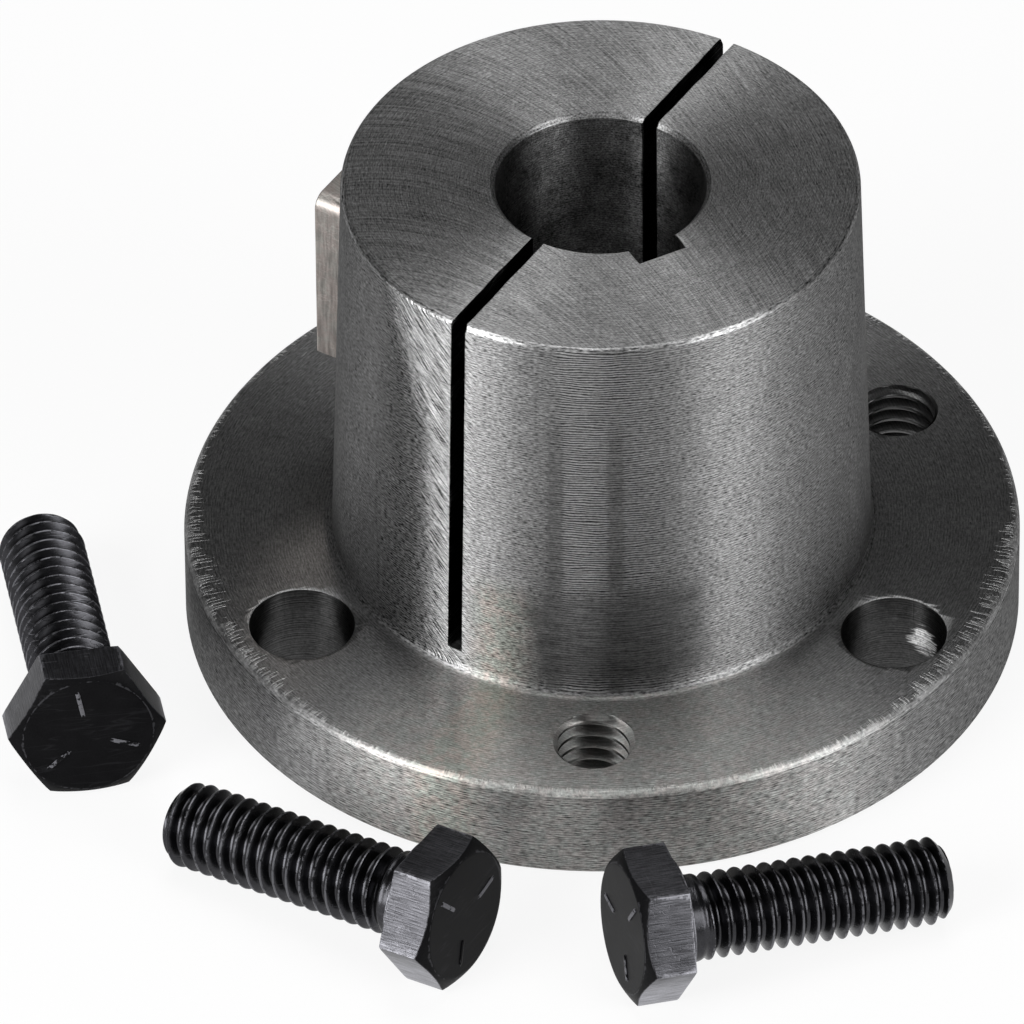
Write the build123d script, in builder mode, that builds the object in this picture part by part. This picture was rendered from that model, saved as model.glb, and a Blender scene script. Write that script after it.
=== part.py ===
"""A flanged bushing with a tapered, twice-split barrel, its drive key and its three cap screws.

The bushing stands on its flange with the barrel's nose up. The origin is where the bore's axis
crosses the flange's bottom face, +Z runs up the bore, and angles are counted from +X, seen from
above. The cap screws lie beside the flange on the plane that the bushing stands on.
Sizes are in millimetres.
"""

import os
from math import atan, cos, radians, sin, sqrt, tan

from build123d import *

os.makedirs("parts", exist_ok=True)

# Flange
flange_diameter = 76.2
flange_thickness = 9.525
flange_top_round = 0.8
flange_bottom_break = 0.3

# Tapered barrel: the taper is the loss of diameter for each millimetre of height
barrel_base_diameter = 49.2125
barrel_height = 39.6875
barrel_taper = 1 / 16
barrel_base_fillet = 1.0
barrel_nose_break = 0.4

# Bore and its keyway, whose depth is measured at the keyway's side
bore_diameter = 19.05
bore_chamfer = 0.45
keyway_width = 4.7625
keyway_depth = 2.38125
keyway_angle = 300

# The saw cut that splits the barrel on both sides and stops short of the flange. Its middle
# passes the bore's axis on the side that is a quarter turn past its own direction.
split_width = 1.35
split_angle = 60
split_off_centre = 0.6
split_floor_above_flange = 2.2

# Thread of the cap screws and of the jacking holes
thread_diameter = 7.9375
threads_per_inch = 18
screw_thread_allowance = 0.0375

# Five holes share a bolt circle just inside the middle of the flange's ledge around the barrel:
# three clear the cap screws, and two are tapped for jacking, each midway between two of those.
# The third place midway, below the drive key, has no hole.
bolt_circle_inside_middle = 0.396875
clearance_holes = 3
first_clearance_angle = 90
tapped_holes = 2
first_tapped_angle = 270
clearance_over_screw = 1.5875
tapped_mouth_chamfer = 0.41

# Drive key: square bar, about half sunk in a seat milled in the barrel
key_width = 7.9375
key_length = 18.25
key_above_flange = 10.3
key_proud_of_barrel = 4.05
key_angle = 150
key_end_round = 1.3

# Hexagon head cap screws
screw_length = 25.4
screw_head_width = 12.6
screw_head_height = 4.95
screw_washer_face_height = 0.35
screw_washer_face_diameter = 11.9
screw_face_circle_diameter = 11.9
screw_point_chamfer = 0.9
screw_thread_depth = 0.83
screw_thread_start = 2.4
head_chamfer_angle = 30
grade_mark_length = 2.4
grade_mark_width = 0.4
grade_mark_height = 0.12
grade_mark_circle_radius = 3.6
grade_marks = 3

# Where each screw lies: its angle about the bore, the gap from the flange's edge to the middle
# of its bearing face, and the way that its shank points
screw_places = {
    "cap_screw_left": {"angle": 206.3, "gap": 13.9, "heading": 101.1},
    "cap_screw_front": {"angle": 252.7, "gap": 13.1, "heading": 149.5},
    "cap_screw_right": {"angle": 278.6, "gap": 13.6, "heading": 20.1},
}

# How far round each head its first grade mark stands
first_mark_angles = {"cap_screw_left": 80, "cap_screw_front": 49, "cap_screw_right": 0}

# Worked out from the sizes above
overall_length = flange_thickness + barrel_height
flange_radius = flange_diameter / 2
barrel_base_radius = barrel_base_diameter / 2
barrel_nose_radius = barrel_base_radius - barrel_taper * barrel_height / 2
bore_radius = bore_diameter / 2
keyway_floor_radius = sqrt(bore_radius**2 - (keyway_width / 2) ** 2) + keyway_depth
bolt_circle_radius = (flange_radius + barrel_base_radius) / 2 - bolt_circle_inside_middle
angle_between_holes = 360 / clearance_holes
clearance_hole_diameter = thread_diameter + clearance_over_screw
inch = 25.4
thread_pitch = inch / threads_per_inch
tapped_hole_diameter = thread_diameter - thread_pitch
screw_radius = (thread_diameter - screw_thread_allowance) / 2
screw_root_radius = screw_radius - screw_thread_depth
thread_crest_flat = thread_pitch / 8
thread_root_flat = thread_pitch / 4
overlong_rod = screw_length + 2.5 * thread_pitch
barrel_radius_at_key = barrel_base_radius - barrel_taper * (key_above_flange + key_length / 2) / 2
key_floor_radius = barrel_radius_at_key + key_proud_of_barrel - key_width
edge_reach = 0.01


def ring_edges(part, height):
    """The circular edges of a turned part at one height, from the smallest to the largest."""
    circles = part.edges().filter_by(GeomType.CIRCLE)
    level = circles.filter_by_position(Axis.Z, height - edge_reach, height + edge_reach)
    return level.sort_by(SortBy.RADIUS)


def key_outline():
    """The key's section, square to the bore's axis, at the height where the key starts."""
    plane = Plane.XY.offset(flange_thickness + key_above_flange).rotated((0, 0, key_angle))
    with BuildSketch(plane) as outline:
        with Locations((key_floor_radius, 0)):
            Rectangle(key_width, key_width, align=(Align.MIN, Align.CENTER))
    return outline.sketch


def tapped_hole():
    """The space of a tapped hole through the flange, with both of its mouths countersunk."""
    hole_radius = tapped_hole_diameter / 2
    mouth_radius = hole_radius + tapped_mouth_chamfer
    with BuildPart() as hole:
        with BuildSketch(Plane.XZ):
            with BuildLine():
                Polyline(
                    (0, 0),
                    (mouth_radius, 0),
                    (hole_radius, tapped_mouth_chamfer),
                    (hole_radius, flange_thickness - tapped_mouth_chamfer),
                    (mouth_radius, flange_thickness),
                    (0, flange_thickness),
                    close=True,
                )
            make_face()
        revolve(axis=Axis.Z)
    return hole.part


def turn_blank():
    """The turned blank: flange, tapered barrel and bore, with their edges broken."""
    with BuildPart() as blank:
        with BuildSketch(Plane.XZ):
            with BuildLine():
                Polyline(
                    (bore_radius, 0),
                    (flange_radius, 0),
                    (flange_radius, flange_thickness),
                    (barrel_base_radius, flange_thickness),
                    (barrel_nose_radius, overall_length),
                    (bore_radius, overall_length),
                    close=True,
                )
            make_face()
        revolve(axis=Axis.Z)
        fillet(ring_edges(blank, flange_thickness)[-1], flange_top_round)
        fillet(ring_edges(blank, flange_thickness)[0], barrel_base_fillet)
        chamfer(ring_edges(blank, 0)[-1], flange_bottom_break)
        chamfer(ring_edges(blank, overall_length)[-1], barrel_nose_break)
        chamfer(ring_edges(blank, 0)[0], bore_chamfer)
        chamfer(ring_edges(blank, overall_length)[0], bore_chamfer)
    return blank.part


with BuildPart() as bushing_body:
    add(turn_blank())

    with BuildSketch(Plane.XY.rotated((0, 0, keyway_angle))):
        Rectangle(keyway_floor_radius, keyway_width, align=(Align.MIN, Align.CENTER))
    extrude(amount=overall_length, mode=Mode.SUBTRACT)

    split_floor = Plane.XY.offset(flange_thickness + split_floor_above_flange)
    with BuildSketch(split_floor.rotated((0, 0, split_angle))):
        with Locations((0, split_off_centre)):
            Rectangle(flange_diameter, split_width)
    extrude(amount=overall_length, mode=Mode.SUBTRACT)

    with BuildSketch():
        with PolarLocations(bolt_circle_radius, clearance_holes, start_angle=first_clearance_angle):
            Circle(clearance_hole_diameter / 2)
    extrude(amount=flange_thickness, mode=Mode.SUBTRACT)

    with PolarLocations(
        bolt_circle_radius,
        tapped_holes,
        start_angle=first_tapped_angle,
        angular_range=tapped_holes * angle_between_holes,
    ):
        add(tapped_hole(), mode=Mode.SUBTRACT)

    extrude(key_outline(), amount=key_length, mode=Mode.SUBTRACT)

bushing_body.part.label = "bushing_body"
export_step(bushing_body.part, "parts/bushing_body.step")


with BuildPart() as drive_key:
    extrude(key_outline(), amount=key_length)
    end_edges = drive_key.faces().sort_by(Axis.Z)[-1].edges()
    across_barrel = Plane.XY.rotated((0, 0, key_angle)).x_dir
    fillet(end_edges.filter_by(Axis((0, 0, 0), across_barrel)), key_end_round)

drive_key.part.label = "drive_key"
export_step(drive_key.part, "parts/drive_key.step")


def screw_plane(angle, gap, heading):
    """The plane of a resting screw's bearing face, with Z along the shank and Y up.

    A flat of the head is down, so the screw rests on that flat's edge next to the bearing face
    and on the last full turn at its point, which tips the shank down a few degrees.
    """
    head_apothem = screw_head_width / 2
    drop = head_apothem - screw_radius
    run = screw_length - screw_point_chamfer + screw_washer_face_height
    tip_down = atan(drop / run)
    height = head_apothem * cos(tip_down) - screw_washer_face_height * sin(tip_down)
    reach = flange_radius + gap
    place = (reach * cos(radians(angle)), reach * sin(radians(angle)), height)
    ahead_x, ahead_y = cos(radians(heading)), sin(radians(heading))
    shank_way = (ahead_x * cos(tip_down), ahead_y * cos(tip_down), -sin(tip_down))
    return Plane(place, x_dir=(-ahead_y, ahead_x, 0), z_dir=shank_way)


def thread_groove():
    """The groove between a screw's threads, which runs on past the screw's point.

    Its middle starts above +X at the thread's start, and its flanks are carried a little
    outside the rod.
    """
    over = 0.1
    mouth = thread_pitch - thread_crest_flat
    grown_mouth = mouth + over * (mouth - thread_root_flat) / screw_thread_depth
    turns = (screw_length - screw_thread_start) / thread_pitch + 1
    with BuildPart() as groove:
        with BuildLine() as path:
            Helix(
                thread_pitch,
                thread_pitch * turns,
                screw_root_radius,
                center=(0, 0, screw_thread_start),
            )
        with BuildSketch(Plane.XZ):
            with BuildLine():
                Polyline(
                    (screw_root_radius, screw_thread_start - thread_root_flat / 2),
                    (screw_root_radius, screw_thread_start + thread_root_flat / 2),
                    (screw_radius + over, screw_thread_start + grown_mouth / 2),
                    (screw_radius + over, screw_thread_start - grown_mouth / 2),
                    close=True,
                )
            make_face()
        sweep(path=path.wires()[0], is_frenet=True)
    return groove.part


def rod_end():
    """What is cut off an overlong rod to leave a screw's length and its chamfered point."""
    over = 0.5
    with BuildPart() as end:
        with BuildSketch(Plane.XZ):
            with BuildLine():
                Polyline(
                    (0, screw_length),
                    (screw_radius - screw_point_chamfer, screw_length),
                    (screw_radius + over, screw_length - screw_point_chamfer - over),
                    (screw_radius + over, overlong_rod + over),
                    (0, overlong_rod + over),
                    close=True,
                )
            make_face()
        revolve(axis=Axis.Z)
    return end.part


def threaded_shank():
    """A screw's shank along Z: a rod that is threaded overlong and then cut to its pointed end."""
    with BuildPart() as shank:
        Cylinder(screw_radius, overlong_rod, align=(Align.CENTER, Align.CENTER, Align.MIN))
        add(thread_groove(), mode=Mode.SUBTRACT)
        add(rod_end(), mode=Mode.SUBTRACT)
    return shank.part


def cap_screw(bearing_face, first_mark_angle):
    """A hexagon head cap screw whose bearing face lies on the plane and whose shank is along its Z."""
    top_of_head = bearing_face.offset(-screw_head_height)
    face_circle_radius = screw_face_circle_diameter / 2
    cone_spread = screw_head_height / tan(radians(head_chamfer_angle))
    with BuildPart() as screw:
        with BuildSketch(bearing_face.offset(-screw_washer_face_height)):
            RegularPolygon(screw_head_width / 2, 6, major_radius=False)
        extrude(amount=screw_washer_face_height - screw_head_height)
        with Locations(top_of_head):
            Cone(
                face_circle_radius,
                face_circle_radius + cone_spread,
                screw_head_height,
                align=(Align.CENTER, Align.CENTER, Align.MIN),
                mode=Mode.INTERSECT,
            )
        with BuildSketch(bearing_face):
            Circle(screw_washer_face_diameter / 2)
        extrude(amount=-screw_washer_face_height)
        with Locations(bearing_face):
            add(threaded_shank())
        with BuildSketch(top_of_head):
            with PolarLocations(grade_mark_circle_radius, grade_marks, start_angle=first_mark_angle):
                Rectangle(grade_mark_length, grade_mark_width)
        extrude(amount=-grade_mark_height)
    return screw.part


for screw_name, place in screw_places.items():
    screw = cap_screw(screw_plane(**place), first_mark_angles[screw_name])
    screw.label = screw_name
    export_step(screw, f"parts/{screw_name}.step")
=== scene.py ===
"""A steel taper bushing with its drive key and three cap screws, on a pale floor.

The bushing stands on its flange: +Z runs up its bore, and angles are counted from +X, seen from
above. Sizes are in millimetres, and the finished meshes are in metres.
"""

from math import atan, ceil, cos, pi, radians, sin, sqrt, tan

import bmesh
import bpy
from mathutils import Matrix, Vector, noise


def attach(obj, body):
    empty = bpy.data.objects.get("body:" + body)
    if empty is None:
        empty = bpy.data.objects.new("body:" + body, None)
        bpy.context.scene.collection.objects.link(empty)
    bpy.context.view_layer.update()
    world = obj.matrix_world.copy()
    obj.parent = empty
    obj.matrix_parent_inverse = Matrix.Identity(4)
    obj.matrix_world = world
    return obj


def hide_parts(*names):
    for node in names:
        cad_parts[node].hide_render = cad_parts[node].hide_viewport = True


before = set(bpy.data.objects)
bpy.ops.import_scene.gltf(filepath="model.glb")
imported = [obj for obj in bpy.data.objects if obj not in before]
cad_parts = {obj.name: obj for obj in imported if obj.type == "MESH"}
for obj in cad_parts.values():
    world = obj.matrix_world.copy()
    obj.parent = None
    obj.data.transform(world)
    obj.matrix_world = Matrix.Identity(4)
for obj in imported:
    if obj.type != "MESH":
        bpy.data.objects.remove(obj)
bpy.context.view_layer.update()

MM = 0.001

# Flange
FLANGE_RADIUS = 38.1
FLANGE_THICKNESS = 9.525
FLANGE_TOP_ROUND = 0.8
FLANGE_BOTTOM_BREAK = 0.3

# Tapered barrel
BARREL_BASE_RADIUS = 24.60625
BARREL_TAPER = 1 / 16
BARREL_HEIGHT = 39.6875
BARREL_BASE_FILLET = 1.0
NOSE_BREAK = 0.4
NOSE_HEIGHT = FLANGE_THICKNESS + BARREL_HEIGHT
NOSE_RADIUS = BARREL_BASE_RADIUS - BARREL_TAPER * BARREL_HEIGHT / 2

# Bore and keyway
BORE_RADIUS = 9.525
BORE_CHAMFER = 0.45
KEYWAY_WIDTH = 4.7625
KEYWAY_DEPTH = 2.38125
KEYWAY_ANGLE = 300
KEYWAY_FLOOR_RADIUS = sqrt(BORE_RADIUS**2 - (KEYWAY_WIDTH / 2) ** 2) + KEYWAY_DEPTH

# Saw cut through both sides of the barrel
SPLIT_WIDTH = 1.35
SPLIT_ANGLE = 60
SPLIT_OFF_CENTRE = 0.6
SPLIT_FLOOR = FLANGE_THICKNESS + 2.2
SPLIT_FLOOR_ROUND = 0.3
SPLIT_ROWS = 44

# How the saw strays and how its cut's width varies: depth, waves per mm and place in the noise
SPLIT_WANDER = (0.07, 0.35, 3.1)
SPLIT_RIPPLE = (0.05, 0.9, 9.4)

# Holes in the flange
BOLT_CIRCLE_RADIUS = 30.95625
CLEARANCE_HOLE_RADIUS = 4.7625
CLEARANCE_HOLES = 3
FIRST_CLEARANCE_ANGLE = 90
TAPPED_HOLES = 2
FIRST_TAPPED_ANGLE = 270
TAPPED_MINOR_RADIUS = 3.2632
TAPPED_MAJOR_RADIUS = 4.0
TAPPED_MOUTH_CHAMFER = 0.41

# Drive key and its seat
KEY_WIDTH = 7.9375
KEY_FLOOR_RADIUS = 20.1117
KEY_BOTTOM = 19.825
KEY_TOP = 38.075
KEY_ANGLE = 150
KEY_END_ROUND = 1.3
KEY_EDGE_BREAK = 0.16

# Cap screws
PITCH = 25.4 / 18
SCREW_RADIUS = 3.95
SCREW_ROOT_RADIUS = 3.12
SCREW_LENGTH = 25.4
SCREW_POINT_CHAMFER = 0.9
SCREW_NECK = 1.0
HEAD_WIDTH = 12.6
HEAD_HEIGHT = 4.95
WASHER_FACE_HEIGHT = 0.35
FACE_RADIUS = 5.95
HEAD_CHAMFER_ANGLE = 30
HEAD_CORNER_ROUND = 0.35
HEAD_EDGE_ROUND = 0.12
GRADE_MARK_LENGTH = 2.4
GRADE_MARK_WIDTH = 0.4
GRADE_MARK_HEIGHT = 0.12
GRADE_MARK_RADIUS = 3.6

# Where each screw lies: angle about the bore, gap from the flange's edge, way the shank points;
# and how far round its head the first grade mark stands
SCREW_PLACES = {
    "cap_screw_left": ((206.3, 13.9, 101.1), 80),
    "cap_screw_front": ((252.7, 13.1, 149.5), 49),
    "cap_screw_right": ((278.6, 13.6, 20.1), 0),
}

# Edge breaks that a file leaves where the cutters came out, and how far cutters pass a face
HAND_BREAK = 0.12
SAW_BREAK = 0.06
CUTTER_OVERRUN = 0.5

# Holes and grade marks stand a third of a turn apart
THIRD_TURN = 120
GRADE_MARKS = 3

# How sharp an edge of a screw has to be for its finish to be worn through
FULLY_WORN_ANGLE = radians(25)

TURNED_STEPS = 384
HOLE_STEPS = 96
THREAD_STEPS = 72
THREAD_ROWS = 16
SPARE_TURNS = 2.0
THREAD_ROUNDING = 0.22
THREAD_SEAM = 2e-6
NECK_SEAM = 4e-6
SMOOTH_ANGLE = 36


# Node trees

class Graph:
    """Adds nodes to a tree. An input may be a plain value or the Number that another node gives."""

    def __init__(self, tree):
        self.tree = tree

    def add(self, kind, inputs=(), out=0, **settings):
        node = self.tree.nodes.new(kind)
        for name, value in settings.items():
            setattr(node, name, value)
        pairs = inputs.items() if isinstance(inputs, dict) else enumerate(inputs)
        for key, value in pairs:
            if isinstance(value, Number):
                self.tree.links.new(value.socket, node.inputs[key])
            elif value is not None:
                node.inputs[key].default_value = value
        return Number(self, node.outputs[out])

    def math(self, operation, *values, clamp=False):
        return self.add("ShaderNodeMath", values, operation=operation, use_clamp=clamp)

    def scale(self, vector, factor):
        return self.add("ShaderNodeVectorMath", {0: vector, "Scale": factor}, operation="SCALE")

    def combine(self, x, y, z):
        return self.add("ShaderNodeCombineXYZ", (x, y, z))

    def separate(self, vector):
        first = self.add("ShaderNodeSeparateXYZ", (vector,))
        return [Number(self, socket) for socket in first.socket.node.outputs]

    def polar(self, radius, angle, height):
        across, along = self.math("COSINE", angle), self.math("SINE", angle)
        return self.combine(radius * across, radius * along, height)

    def from_axis(self, x, y):
        return self.math("SQRT", x * x + y * y)

    def span(self, value, low, high, to_low=0.0, to_high=1.0, ease="LINEAR"):
        """Maps a range of values onto another and holds it at both ends."""
        inputs = (value, low, high, to_low, to_high)
        return self.add("ShaderNodeMapRange", inputs, interpolation_type=ease)

    def fall(self, value, low, high):
        return self.span(value, low, high, 1.0, 0.0)

    def window(self, value, start, full, fade, end):
        """Rises from 0 to 1 as a value grows, and falls back to 0."""
        return self.span(value, start, full) * self.fall(value, fade, end)

    def noise(self, place, scale=1.0, detail=1.0, roughness=0.5, **settings):
        inputs = {"Vector": place, "Scale": scale, "Detail": detail, "Roughness": roughness}
        return self.add("ShaderNodeTexNoise", inputs, **settings)

    def gather(self, kind, socket, parts, **settings):
        """Adds a node that takes several meshes in one socket."""
        gathered = self.add(kind, **settings)
        for part in parts:
            self.tree.links.new(part.socket, gathered.socket.node.inputs[socket])
        return gathered

    def give(self, value):
        """Makes a value the tree's output, and returns the tree."""
        end = self.tree.nodes.new("NodeGroupOutput")
        self.tree.links.new(value.socket, end.inputs[0])
        return self.tree


class Number:
    """What a node gives out, with Python's signs for sums and comparisons made of it."""

    def __init__(self, graph, socket):
        self.graph = graph
        self.socket = socket

    def __add__(self, other):
        return self.graph.math("ADD", self, other)

    __radd__ = __add__

    def __sub__(self, other):
        return self.graph.math("SUBTRACT", self, other)

    def __rsub__(self, other):
        return self.graph.math("SUBTRACT", other, self)

    def __mul__(self, other):
        return self.graph.math("MULTIPLY", self, other)

    __rmul__ = __mul__

    def __truediv__(self, other):
        return self.graph.math("DIVIDE", self, other)

    def __lt__(self, other):
        return self.graph.math("LESS_THAN", self, other)

    def __gt__(self, other):
        return self.graph.math("GREATER_THAN", self, other)

    def __abs__(self):
        return self.graph.math("ABSOLUTE", self)


def new_group(name, inputs, output_name, output_kind):
    """A node group with named inputs and one output: its graph, and its inputs by name."""
    geometry = output_kind == "Geometry"
    tree = bpy.data.node_groups.new(name, "GeometryNodeTree" if geometry else "ShaderNodeTree")
    for input_name, input_kind in inputs.items():
        tree.interface.new_socket(input_name, in_out="INPUT", socket_type="NodeSocket" + input_kind)
    tree.interface.new_socket(output_name, in_out="OUTPUT", socket_type="NodeSocket" + output_kind)
    graph = Graph(tree)
    start = tree.nodes.new("NodeGroupInput")
    return graph, {name: Number(graph, start.outputs[name]) for name in inputs}


def floats(*names):
    return dict.fromkeys(names, "Float")


# Meshes in code

def rounded_outline(corners, steps=4):
    """The points of a closed outline whose corners, each (x, y, radius), are rounded."""
    points = []
    for index, (x, y, radius) in enumerate(corners):
        here = Vector((x, y))
        if radius == 0:
            points.append(here)
            continue
        back = (Vector(corners[index - 1][:2]) - here).normalized()
        ahead = (Vector(corners[(index + 1) % len(corners)][:2]) - here).normalized()
        half_angle = back.angle(ahead) / 2
        centre = here + (back + ahead).normalized() * (radius / sin(half_angle))
        start = here + back * (radius / tan(half_angle)) - centre
        end = here + ahead * (radius / tan(half_angle)) - centre
        sweep = start.angle_signed(end)
        for step in range(steps + 1):
            points.append(centre + Matrix.Rotation(-sweep * step / steps, 2) @ start)
    return points


def split_long_sides(points, longest):
    """Adds points to an outline so that no side is longer than the given length."""
    result = []
    for index, point in enumerate(points):
        following = points[(index + 1) % len(points)]
        pieces = max(1, ceil((following - point).length / longest))
        result += [point.lerp(following, piece / pieces) for piece in range(pieces)]
    return result


def new_piece(name, mesh):
    piece = bpy.data.objects.new(name, mesh)
    bpy.context.scene.collection.objects.link(piece)
    return piece


def grid_mesh(name, rows, close_rows=False):
    """A mesh from rows of points in millimetres, each row closed into a ring."""
    mesh = bpy.data.meshes.new(name)
    width = len(rows[0])
    points = [Vector(point) * MM for row in rows for point in row]
    faces = []
    for row in range(len(rows) if close_rows else len(rows) - 1):
        low, high = row * width, (row + 1) % len(rows) * width
        for left in range(width):
            right = (left + 1) % width
            faces.append((low + left, low + right, high + right, high + left))
    if not close_rows:
        faces.append(tuple(reversed(range(width))))
        faces.append(tuple((len(rows) - 1) * width + index for index in range(width)))
    mesh.from_pydata(points, [], faces)
    work = bmesh.new()
    work.from_mesh(mesh)
    bmesh.ops.remove_doubles(work, verts=work.verts, dist=1e-6)
    bmesh.ops.dissolve_degenerate(work, edges=work.edges, dist=1e-7)
    bmesh.ops.recalc_face_normals(work, faces=work.faces)
    work.to_mesh(mesh)
    work.free()
    return mesh


def grid_piece(name, rows, angle=0):
    """A piece from rows of points, turned about the bore by an angle."""
    mesh = grid_mesh(name, rows)
    mesh.transform(Matrix.Rotation(radians(angle), 4, "Z"))
    return new_piece(name, mesh)


def turned(name, outline, steps=TURNED_STEPS):
    """A solid turned about Z from a closed outline of (radius, height) points."""
    angles = [2 * pi * step / steps for step in range(steps)]
    rows = []
    for radius, height in outline:
        rows.append([(radius * cos(angle), radius * sin(angle), height) for angle in angles])
    return new_piece(name, grid_mesh(name, rows, close_rows=True))


def flare(distance, radius):
    """How far a cutter stands out for a rounded edge, this far inside the edge of the metal."""
    if distance >= radius:
        return 0.0
    inward = min(radius, radius - distance)
    grown = radius - sqrt(max(0.0, radius**2 - inward**2))
    return grown + max(0.0, -distance)


def blank_outline():
    """The bushing's turned section, from the bore's foot round the flange to the nose."""
    drop_at_break = NOSE_BREAK * BARREL_TAPER / 2
    corners = [
        (BORE_RADIUS + BORE_CHAMFER, 0, 0.08),
        (FLANGE_RADIUS - FLANGE_BOTTOM_BREAK, 0, 0.08),
        (FLANGE_RADIUS, FLANGE_BOTTOM_BREAK, 0.08),
        (FLANGE_RADIUS, FLANGE_THICKNESS, FLANGE_TOP_ROUND),
        (BARREL_BASE_RADIUS, FLANGE_THICKNESS, BARREL_BASE_FILLET),
        (NOSE_RADIUS + drop_at_break, NOSE_HEIGHT - NOSE_BREAK, 0.5),
        (NOSE_RADIUS - NOSE_BREAK, NOSE_HEIGHT, 0.5),
        (BORE_RADIUS + BORE_CHAMFER, NOSE_HEIGHT, 0.1),
        (BORE_RADIUS, NOSE_HEIGHT - BORE_CHAMFER, 0.1),
        (BORE_RADIUS, BORE_CHAMFER, 0.08),
    ]
    return split_long_sides(rounded_outline(corners), 2.0)


def blade_rows():
    """Rows of the saw's path, for one straight cut along X through both sides of the barrel."""
    reach = BARREL_BASE_RADIUS + 1
    near_edge = [-CUTTER_OVERRUN, 0, 0.25 * SAW_BREAK, 0.5 * SAW_BREAK, SAW_BREAK]
    low, high = SPLIT_FLOOR + SPLIT_FLOOR_ROUND, NOSE_HEIGHT - SAW_BREAK
    heights = [SPLIT_FLOOR + 0.25 * step * SAW_BREAK for step in range(4)]
    heights += [low + (high - low) * step / SPLIT_ROWS for step in range(SPLIT_ROWS + 1)]
    heights += [NOSE_HEIGHT - SAW_BREAK * share for share in (0.5, 0.25, 0)]
    heights += [NOSE_HEIGHT + CUTTER_OVERRUN]
    rows = []
    for height in heights:
        barrel_radius = BARREL_BASE_RADIUS - BARREL_TAPER * (height - FLANGE_THICKNESS) / 2
        barrel_radius = min(barrel_radius, barrel_radius - NOSE_BREAK + (NOSE_HEIGHT - height))
        outside = [barrel_radius - depth for depth in near_edge]
        wall_start, wall_end = outside[-1], BORE_RADIUS + SAW_BREAK
        wall = [wall_start + (wall_end - wall_start) * step / 14 for step in range(1, 14)]
        inside = [BORE_RADIUS + depth for depth in reversed(near_edge)]
        half = [reach] + outside + wall + inside
        along = half + [-place for place in reversed(half)]
        low_share = max(0.0, 1 - (height - SPLIT_FLOOR) / SPLIT_FLOOR_ROUND)
        nose_flare = flare(NOSE_HEIGHT - height, SAW_BREAK)
        side = []
        for place in along:
            from_axis = sqrt(place**2 + SPLIT_OFF_CENTRE**2)
            edge = min(barrel_radius - from_axis, from_axis - BORE_RADIUS)
            grown = max(flare(edge, SAW_BREAK), nose_flare) - 0.25 * low_share**2
            side.append((
                place,
                SPLIT_WIDTH / 2 + grown + unevenness(place, height, *SPLIT_RIPPLE),
                SPLIT_OFF_CENTRE + unevenness(place, height, *SPLIT_WANDER),
            ))
        front = [(place, middle - wide, height) for place, wide, middle in side]
        back = [(place, middle + wide, height) for place, wide, middle in reversed(side)]
        rows.append(front + back)
    return rows


def unevenness(place, height, depth, waves, seed):
    return depth * noise.noise(Vector((place * waves, height * waves, seed)))


def slab(name, outline_at, levels, angle):
    """An upright cutter whose mouths flare: outline_at gives its outline for a flare."""
    rows = [[(x, y, height) for x, y in outline_at(grown)] for height, grown in levels]
    return grid_piece(name, rows, angle)


def mouth_levels(low, high):
    """Heights and flares of a cutter that comes out of flat faces at both ends."""
    depths = [HAND_BREAK * share for share in (0, 0.25, 0.5, 1)]
    edge = [(depth, flare(depth, HAND_BREAK)) for depth in depths]
    beyond = HAND_BREAK + CUTTER_OVERRUN
    levels = [(low - CUTTER_OVERRUN, beyond)] + [(low + depth, grown) for depth, grown in edge]
    levels += [(high - depth, grown) for depth, grown in reversed(edge)]
    return levels + [(high + CUTTER_OVERRUN, beyond)]


def keyway_outline(grown):
    half = KEYWAY_WIDTH / 2 + grown
    corners = [
        (0, -half, 0),
        (KEYWAY_FLOOR_RADIUS + grown, -half, 0.15),
        (KEYWAY_FLOOR_RADIUS + grown, half, 0.15),
        (0, half, 0),
    ]
    return rounded_outline(corners, 3)


def keyseat_outline(grown):
    half = KEY_WIDTH / 2 + grown
    floor, outside = KEY_FLOOR_RADIUS, BARREL_BASE_RADIUS + 3
    return [(floor, -half), (outside, -half), (outside, half), (floor, half)]


def clearance_hole_outline():
    levels = mouth_levels(0, FLANGE_THICKNESS)
    wall = [(CLEARANCE_HOLE_RADIUS + grown, height) for height, grown in levels]
    return [(0, wall[0][1])] + wall + [(0, wall[-1][1])]


# What repeats, as geometry nodes

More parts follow.
